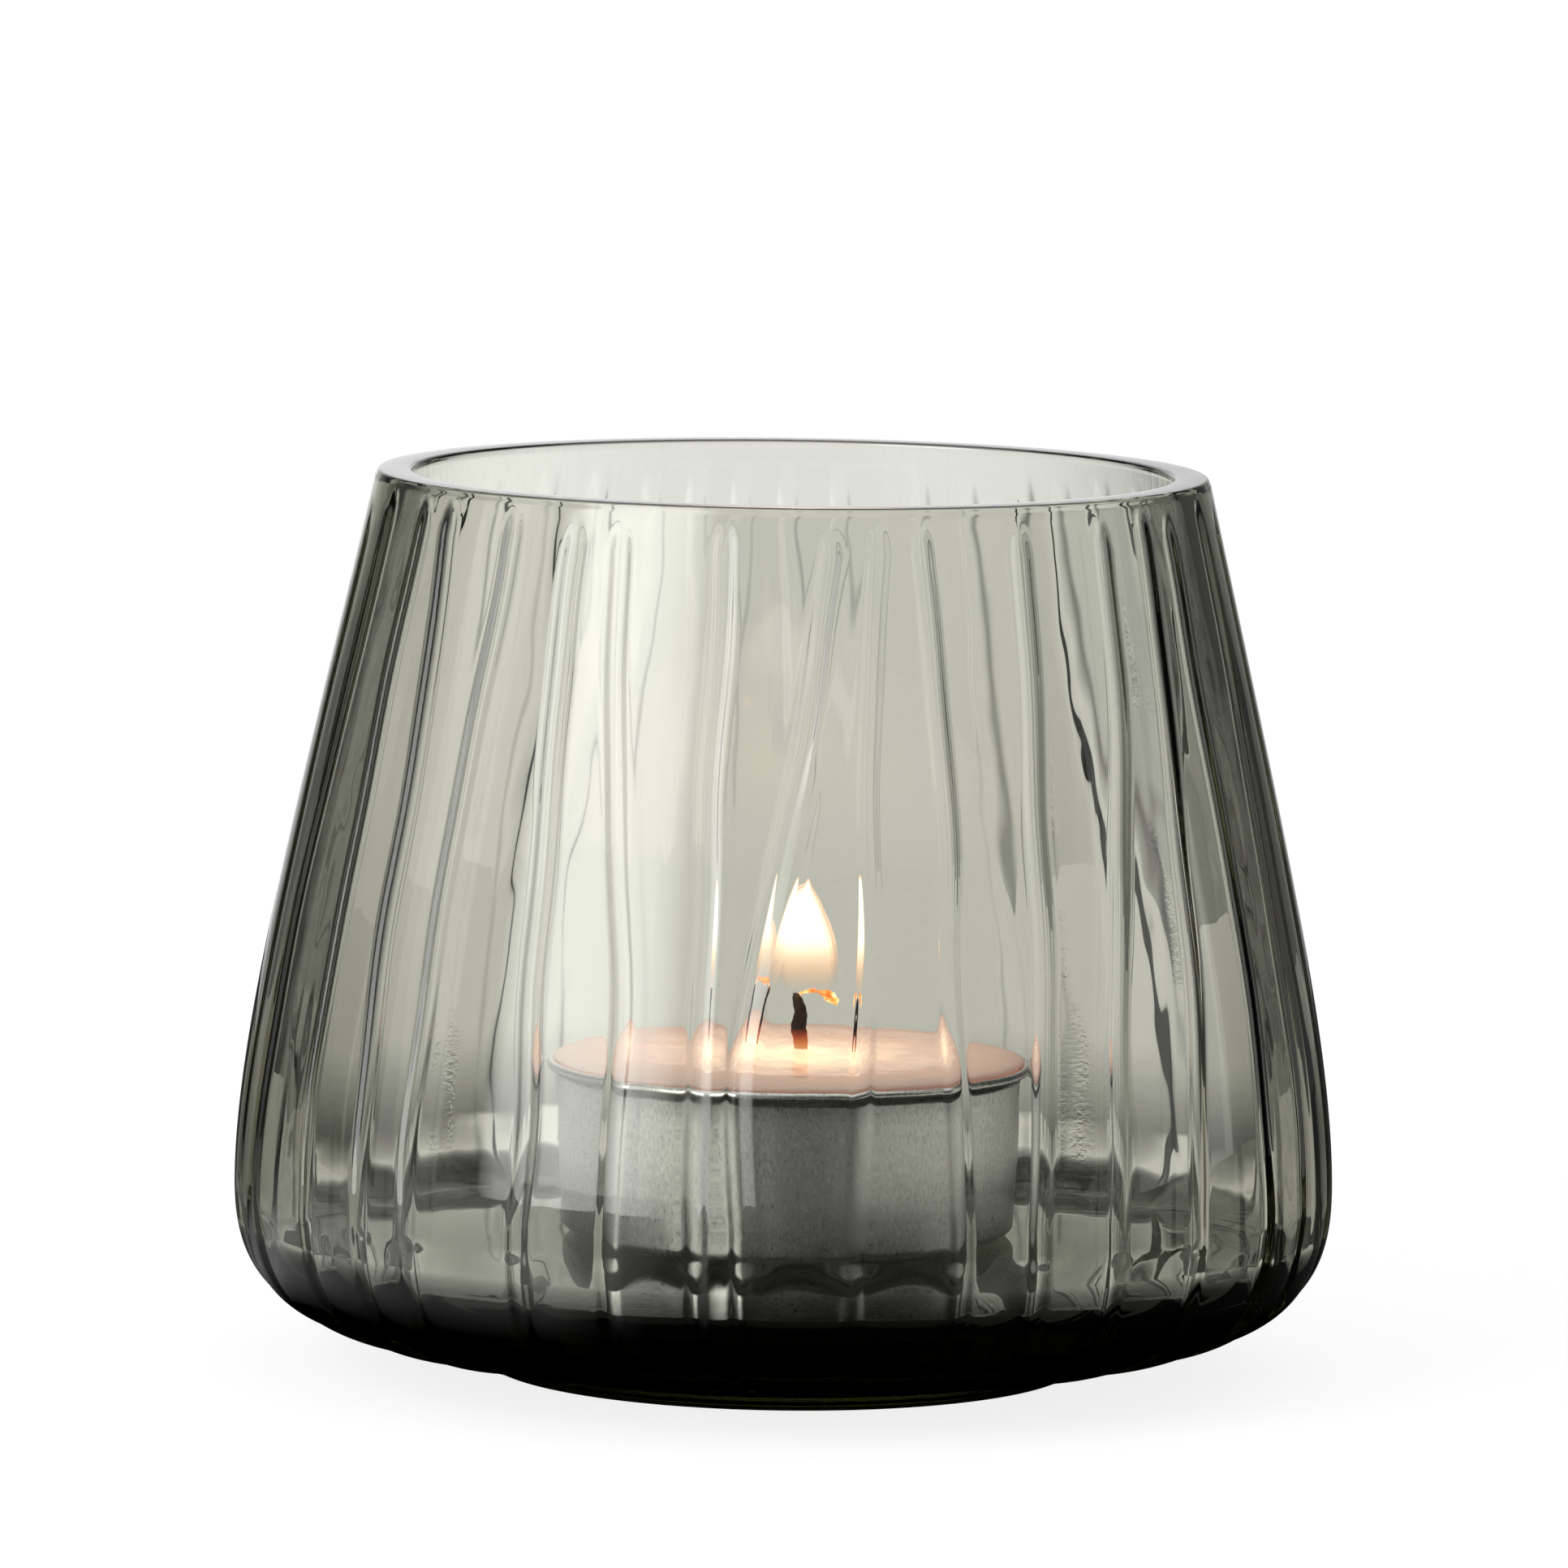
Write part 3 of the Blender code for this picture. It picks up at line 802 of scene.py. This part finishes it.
def aluminium_material():
    made = Nodes("aluminium_sheet")
    grain = made.noise(4200.0, 3.0, 0.6, stretch=(1, 1, 0.5))
    dents = made.noise(220.0, 2.0, 0.5, stretch=(1, 1, 0.5))
    shades = ((0.34, (0.64, 0.64, 0.66)), (0.5, (0.82, 0.82, 0.83)), (0.66, (0.96, 0.96, 0.96)))
    fine = made.bump(grain, 0.11, 0.0001)
    made.principled(
        Base_Color=made.ramp(grain, shades),
        Metallic=1.0,
        Roughness=made.scaled(grain, 0.3, 0.7, 0.26, 0.34),
        Normal=made.bump(dents, 0.22, 0.0005, fine),
    )
    return made.material


def wax_material():
    """Paraffin with the flame's light painted on its top as an emission round the wick, smooth where it
    has melted.
    """
    made = Nodes("paraffin")
    cloud = made.noise(420.0, 4.0, 0.6)
    tint = made.ramp(cloud, ((0.3, (0.76, 0.64, 0.55)), (0.7, (0.83, 0.73, 0.64))))
    wick = (WICK_CENTRE[0], WICK_CENTRE[1], WAX_HIGH.z)
    far = made.add("ShaderNodeVectorMath", {0: made.place(), 1: wick}, operation="DISTANCE")
    uneven = made.scaled(cloud, 0.3, 0.7, -MELT_AND_GLOW_UNEVEN, MELT_AND_GLOW_UNEVEN)
    reach = made.add("ShaderNodeMath", {0: far.outputs["Value"], 1: uneven}, operation="ADD").outputs[0]
    made.principled(
        Base_Color=tint,
        Roughness=made.scaled(reach, *MELT_EDGE, 0.06, 0.42),
        IOR=1.44,
        Subsurface_Weight=0.5,
        Subsurface_Radius=(1.0, 0.6, 0.35),
        Subsurface_Scale=0.004,
        # Painted light: the flame's light on the wax, with a painted highlight next to the wick
        Emission_Color=made.ramp(made.scaled(reach, 0.0, GLOW_REACH, 0.0, 1.0), WAX_GLOW),
        Emission_Strength=made.scaled(
            made.parts()["Z"],
            WAX_HIGH.z - GLOW_DEPTH,
            WAX_HIGH.z - GLOW_FULL_DEPTH,
            0.0,
            GLOW_STRENGTH,
        ),
        Normal=made.bump(cloud, 0.3, 0.0004),
    )
    return made.material


def wick_material():
    """Charred cotton, wax-soaked at its foot, with painted light there: a warm emission that fades out
    up the wick.
    """
    made = Nodes("charred_cotton")
    char = made.noise(2500.0, 4.0, 0.7)
    tint = made.ramp(char, ((0.35, (0.010, 0.008, 0.009)), (0.75, (0.05, 0.035, 0.035))))
    share = made.scaled(made.parts()["Z"], WAX_HIGH.z - WICK_GLOW_BELOW, WICK_HIGH.z, 0.0, 1.0)
    made.principled(
        Base_Color=tint,
        Roughness=0.95,
        # Painted light at the wick's foot
        Emission_Color=made.ramp(share, WICK_GLOW),
        Emission_Strength=1.0,
        Normal=made.bump(char, 0.8, 0.0003),
    )
    return made.material


def ember_material():
    """Glowing char, hotter in some spots than others."""
    made = Nodes("glowing_char")
    made.principled(
        Base_Color=(0.05, 0.02, 0.01, 1),
        Roughness=0.95,
        Emission_Color=made.ramp(made.noise(1500.0, 3.0, 0.6), EMBER_GLOW),
        Emission_Strength=1.5,
    )
    return made.material


def tinplate_material():
    made = Nodes("tinplate_sheet")
    grain = made.noise(3000.0, 3.0, 0.6)
    shade = made.ramp(grain, ((0.3, (0.5, 0.5, 0.51)), (0.7, (0.62, 0.62, 0.63))))
    made.principled(
        Base_Color=shade,
        Metallic=1.0,
        Roughness=0.35,
        Normal=made.bump(grain, 0.1, 0.0001),
    )
    return made.material


def flame_material(name, base, tip, opacity, warmth):
    """Bright and nearly white, warm and dim at its foot, where it fades to nothing."""
    made = Nodes(name)
    share = made.scaled(made.parts()["Z"], base, tip, 0.0, 1.0)
    colours = [
        (place, (red, green * warmth, blue * warmth**2))
        for place, (red, green, blue) in FLAME_COLOURS
    ]
    alphas = [(place, (value * opacity,) * 3) for place, value in FLAME_OPACITY]
    made.principled(
        Base_Color=(0, 0, 0, 1),
        Roughness=1.0,
        IOR=1.0,
        Alpha=made.ramp(share, alphas),
        Emission_Color=made.ramp(share, colours),
        Emission_Strength=FLAME_BRIGHTNESS,
    )
    return made.material


def flame_object():
    """Three shells, one in another, make the flame's soft edge. A warm lamp in it lights the wax."""
    base = WICK_HIGH.z - FLAME_BELOW_WICK_TOP
    middle = WICK_CENTRE[0] + FLAME_ASIDE
    vertices, faces, shell_of_face, surfaces = [], [], [], []
    for shell, (size, opacity, warmth) in enumerate(FLAME_SHELLS):
        first = len(vertices)
        for share in np.linspace(0, 1, FLAME_ROWS):
            radius = size * np.interp(share, *zip(*FLAME_WIDTHS))
            centre = (middle - FLAME_LEAN * share**FLAME_CURVE, WICK_CENTRE[1])
            rise = share * (1 - SHELL_GROWTH + SHELL_GROWTH * size) + SHELL_RISE * (1 - size)
            ring = circle(radius, base + FLAME_HEIGHT * rise, centre, FLAME_SEGMENTS)
            vertices += [tuple(point) for point in ring]
        faces += tube_faces(first, FLAME_ROWS, FLAME_SEGMENTS)
        shell_of_face += [shell] * (len(faces) - len(shell_of_face))
        surfaces.append(flame_material(f"flame_{shell}", base, base + FLAME_HEIGHT, opacity, warmth))
    made = new_object("flame", vertices, faces, surfaces[0])
    for surface in surfaces[1:]:
        made.data.materials.append(surface)
    made.data.polygons.foreach_set("material_index", shell_of_face)
    glow = bpy.data.lights.new("flame_light", "POINT")
    glow.energy = LAMP_POWER
    glow.color = LAMP_COLOUR
    glow.shadow_soft_size = LAMP_RADIUS
    lamp = bpy.data.objects.new("flame_light", glow)
    bpy.context.scene.collection.objects.link(lamp)
    lamp.location = (middle, WICK_CENTRE[1], base + LAMP_RISE * FLAME_HEIGHT)
    lamp.parent = made
    for way in ("camera", "glossy", "transmission"):
        setattr(lamp, "visible_" + way, False)
    made.visible_shadow = False
    return made


def world():
    made = bpy.data.worlds.new("studio")
    bpy.context.scene.world = made
    made.use_nodes = True
    background = made.node_tree.nodes["Background"]
    background.inputs["Color"].default_value = (1, 1, 1, 1)
    background.inputs["Strength"].default_value = 1.0


def stage(made, seen_by):
    for way in ("camera", "diffuse", "glossy", "transmission", "shadow", "volume_scatter"):
        setattr(made, "visible_" + way, way in seen_by)


def curtain(name, start, end, distance, high, shades, strength, seen_by):
    """A curved card that stands on the floor between two azimuths, in degrees from the front to +X.

    Its shades run from start to end.
    """
    made = Nodes(name)
    unwrapped = made.add("ShaderNodeTexCoord").outputs["UV"]
    across = made.add("ShaderNodeSeparateXYZ", {"Vector": unwrapped}).outputs["X"]
    made.glowing(made.greys(across, shades), strength)
    vertices = []
    for count in range(CURTAIN_COLUMNS + 1):
        turn = math.radians(start + (end - start) * count / CURTAIN_COLUMNS)
        for height in (0.0, high):
            vertices.append((distance * math.sin(turn), -distance * math.cos(turn), height))
    faces = [(2 * c, 2 * c + 2, 2 * c + 3, 2 * c + 1) for c in range(CURTAIN_COLUMNS)]
    sheet = new_object(name, vertices, faces, made.material)
    layer = sheet.data.uv_layers.new(name="across")
    for loop in sheet.data.loops:
        column, top = divmod(loop.vertex_index, 2)
        layer.data[loop.index].uv = (column / CURTAIN_COLUMNS, top)
    stage(sheet, seen_by)


def painted_floor_card(name, height, outwards, behind, around, seen_by):
    """A round card of painted light and shade on the floor, with shades by distance in metres, others
    of them behind the object.

    They are multiplied by the shades around it, by azimuth in degrees.
    """
    made = Nodes(name)
    far = made.add("ShaderNodeVectorMath", {0: made.place()}, operation="LENGTH").outputs["Value"]
    parts = made.parts()
    front = made.multiply(parts["Y"], -1.0)
    turn = made.add("ShaderNodeMath", {0: parts["X"], 1: front}, operation="ARCTAN2").outputs[0]
    share_out = made.scaled(far, 0.0, CARD_RADIUS, 0.0, 1.0)
    share_round = made.scaled(turn, -math.pi, math.pi, 0.0, 1.0)
    before, after = (
        made.grey(made.greys(share_out, [(far_out / CARD_RADIUS, value) for far_out, value in stops]))
        for stops in (outwards, behind)
    )
    back, sector = (
        made.greys(share_round, [((azimuth + 180) / 360, value) for azimuth, value in stops])
        for stops in (BEHIND, around)
    )
    mixed = made.add("ShaderNodeMix", {"Factor": back, "A": before, "B": after})
    made.glowing((1, 1, 1, 1), made.multiply(mixed.outputs["Result"], sector))
    ring = circle(CARD_RADIUS, 0, (0, 0), CARD_SEGMENTS)
    card = new_object(name, ring, [tuple(range(CARD_SEGMENTS))], made.material)
    card.location.z = height
    stage(card, seen_by)


def studio():
    """A bright field for glass: a white backdrop between dark curtains, a soft light at left, and floor
    cards of painted shadow and painted light.
    """
    through = ("glossy", "transmission")
    curtain("curtain_left", 183, 270, SIDE_DISTANCE, SIDE_HEIGHT, LEFT_SHADES, 1.0, through)
    curtain("curtain_right", 177, 102, SIDE_DISTANCE, SIDE_HEIGHT, RIGHT_SHADES, 1.0, through)
    curtain("curtain_front", -76, 76, 0.95, 1.2, FRONT_SHADES, 1.0, through)
    curtain("soft_light", -64, -20, 0.80, 0.95, SOFT_SHADES, 6.0, through + ("diffuse",))
    # The floor cards: painted shade seen in reflections, and a painted shadow seen through the glass,
    # each with a painted pool of the soft light at front left
    mirrored, seen = ("floor_in_reflections", MIRRORED_HEIGHT), ("floor_through_glass", SEEN_HEIGHT)
    painted_floor_card(*mirrored, MIRRORED_PAINTED_SHADE, MIRRORED_PAINTED_SHADE, MIRRORED_PAINTED_LIGHT_AND_SHADE, ("glossy",))
    painted_floor_card(*seen, SEEN_PAINTED_SHADOW, SEEN_PAINTED_SHADE_BEHIND, SEEN_PAINTED_LIGHT_AND_SHADE, ("transmission",))


def floor():
    made = Nodes("floor")
    made.glowing((1, 1, 1, 1), FLOOR_LIGHT, FLOOR_SHADE)
    size = FLOOR_SIZE
    corners = [(-size, -size, 0), (size, -size, 0), (size, size, 0), (-size, size, 0)]
    plane = new_object("floor", corners, [(0, 1, 2, 3)], made.material)
    plane.location.z = FLOOR_HEIGHT


def camera():
    pitch, roll = math.radians(CAMERA_PITCH), math.radians(CAMERA_ROLL)
    data = bpy.data.cameras.new("camera")
    data.lens = CAMERA_LENS
    data.clip_start = 0.05
    data.shift_x, data.shift_y = CAMERA_SHIFT
    made = bpy.data.objects.new("camera", data)
    bpy.context.scene.collection.objects.link(made)
    turn = Matrix.Rotation(math.pi / 2 - pitch, 4, "X") @ Matrix.Rotation(roll, 4, "Z")
    made.matrix_world = Matrix.Translation((0, -CAMERA_DISTANCE, CAMERA_HEIGHT)) @ turn
    bpy.context.scene.camera = made


def main():
    scene = bpy.context.scene
    scene.view_settings.view_transform = "Standard"
    scene.cycles.use_denoising = True
    scene.cycles.max_bounces = 32
    scene.cycles.transmission_bounces = 24
    scene.cycles.glossy_bounces = 8
    scene.cycles.sample_clamp_indirect = 8.0
    world()
    floor()
    studio()
    camera()
    glass = glass_object(glass_material())
    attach(glass, "holder")
    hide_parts("glass_holder")
    for made, body, node, slot in (
        (cup_object(aluminium_material()), "tealight", "tealight_cup", "aluminium"),
        (wax_object(wax_material()), "candle", "wax", "wax"),
        (wick_object(wick_material()), "candle", "wick", "wick"),
        (ember_object(ember_material()), "candle", None, "wick"),
        (flame_object(), "candle", None, "wick"),
    ):
        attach(made, body)
        if node:
            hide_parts(node)
    slots = frame["nodes"]["wick_tab"].data.materials
    slots.clear()
    slots.append(tinplate_material())


main()
